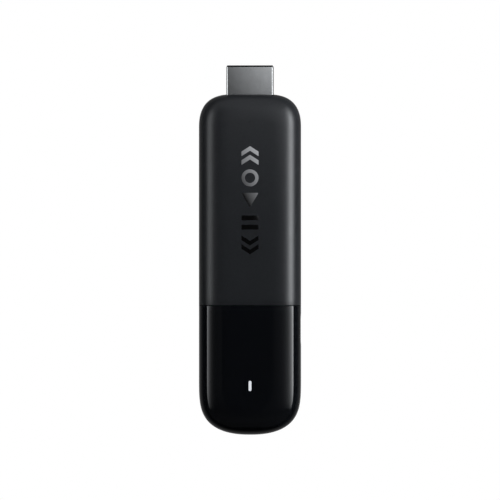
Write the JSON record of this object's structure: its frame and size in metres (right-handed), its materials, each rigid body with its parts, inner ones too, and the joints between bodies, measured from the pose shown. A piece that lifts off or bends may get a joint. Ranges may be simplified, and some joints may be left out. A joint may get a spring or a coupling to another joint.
{
  "type": "streaming media player",
  "caption": "Slim stick that plugs into a display's video socket: matte upper and glossy lower housing with a small status light and a power socket in its side.",
  "frame": {"origin": "on the video plug's axis, where the plug leaves the top end of the housing", "axes": "+Z along the plug, towards the socket it goes into; -Y is the front face with the status light; +X is the side with the power socket, on the right seen from the front"},
  "size_m": [0.03, 0.0154, 0.1085],
  "materials": {
    "matte_housing": "fine satin texture, moulded, near-black",
    "gloss_housing": "polished piano black",
    "light_lens": "milky translucent, lit white",
    "foam": "soft black foam",
    "lamp": "white lamp package",
    "connector_steel": "plain nickel-plated sheet",
    "connector_plastic": "moulded black",
    "contact_gold": "gold plated",
    "circuit_board": "green solder mask",
    "screw_steel": "zinc plated",
    "shield_steel": "tin-plated sheet",
    "chip_plastic": "moulded, lightly textured",
    "thermal_pad": "soft, slightly tacky",
    "spreader_aluminium": "rolled sheet",
    "tape": "double-sided tape",
    "inductor_ferrite": "moulded ferrite",
    "capacitor_ceramic": "fired, tan",
    "antenna_brass": "plated spring brass"
  },
  "bodies": {
    "root": {"antenna_left": "antenna_brass", "antenna_right": "antenna_brass", "board_screw_bottom": "screw_steel", "board_screw_top": "screw_steel", "bulk_capacitor_1": "capacitor_ceramic", "bulk_capacitor_2": "capacitor_ceramic", "bulk_capacitor_3": "capacitor_ceramic", "crystal": "shield_steel", "flash_chip": "chip_plastic", "front_cover": "matte_housing", "gloss_cover": "gloss_housing", "hdmi_contact_01": "contact_gold", "hdmi_contact_02": "contact_gold", "hdmi_contact_03": "contact_gold", "hdmi_contact_04": "contact_gold", "hdmi_contact_05": "contact_gold", "hdmi_contact_06": "contact_gold", "hdmi_contact_07": "contact_gold", "hdmi_contact_08": "contact_gold", "hdmi_contact_09": "contact_gold", "hdmi_contact_10": "contact_gold", "hdmi_contact_11": "contact_gold", "hdmi_contact_12": "contact_gold", "hdmi_contact_13": "contact_gold", "hdmi_contact_14": "contact_gold", "hdmi_contact_15": "contact_gold", "hdmi_contact_16": "contact_gold", "hdmi_contact_17": "contact_gold", "hdmi_contact_18": "contact_gold", "hdmi_contact_19": "contact_gold", "hdmi_insulator": "connector_plastic", "hdmi_shell": "connector_steel", "heat_spreader": "spreader_aluminium", "light_gasket": "foam", "light_pipe": "light_lens", "main_board": "circuit_board", "memory_chip": "chip_plastic", "power_controller": "chip_plastic", "power_inductor_1": "inductor_ferrite", "power_inductor_2": "inductor_ferrite", "power_inductor_3": "inductor_ferrite", "processor": "chip_plastic", "processor_thermal_pad": "thermal_pad", "radio_module": "shield_steel", "rear_cover": "matte_housing", "shield_frame": "shield_steel", "shield_lid": "shield_steel", "spreader_tape": "tape", "spreader_thermal_pad": "thermal_pad", "status_led": "lamp", "usb_contacts_front": "contact_gold", "usb_contacts_rear": "contact_gold", "usb_insulator": "connector_plastic", "usb_shell": "connector_steel"}
  },
  "joints": []
}
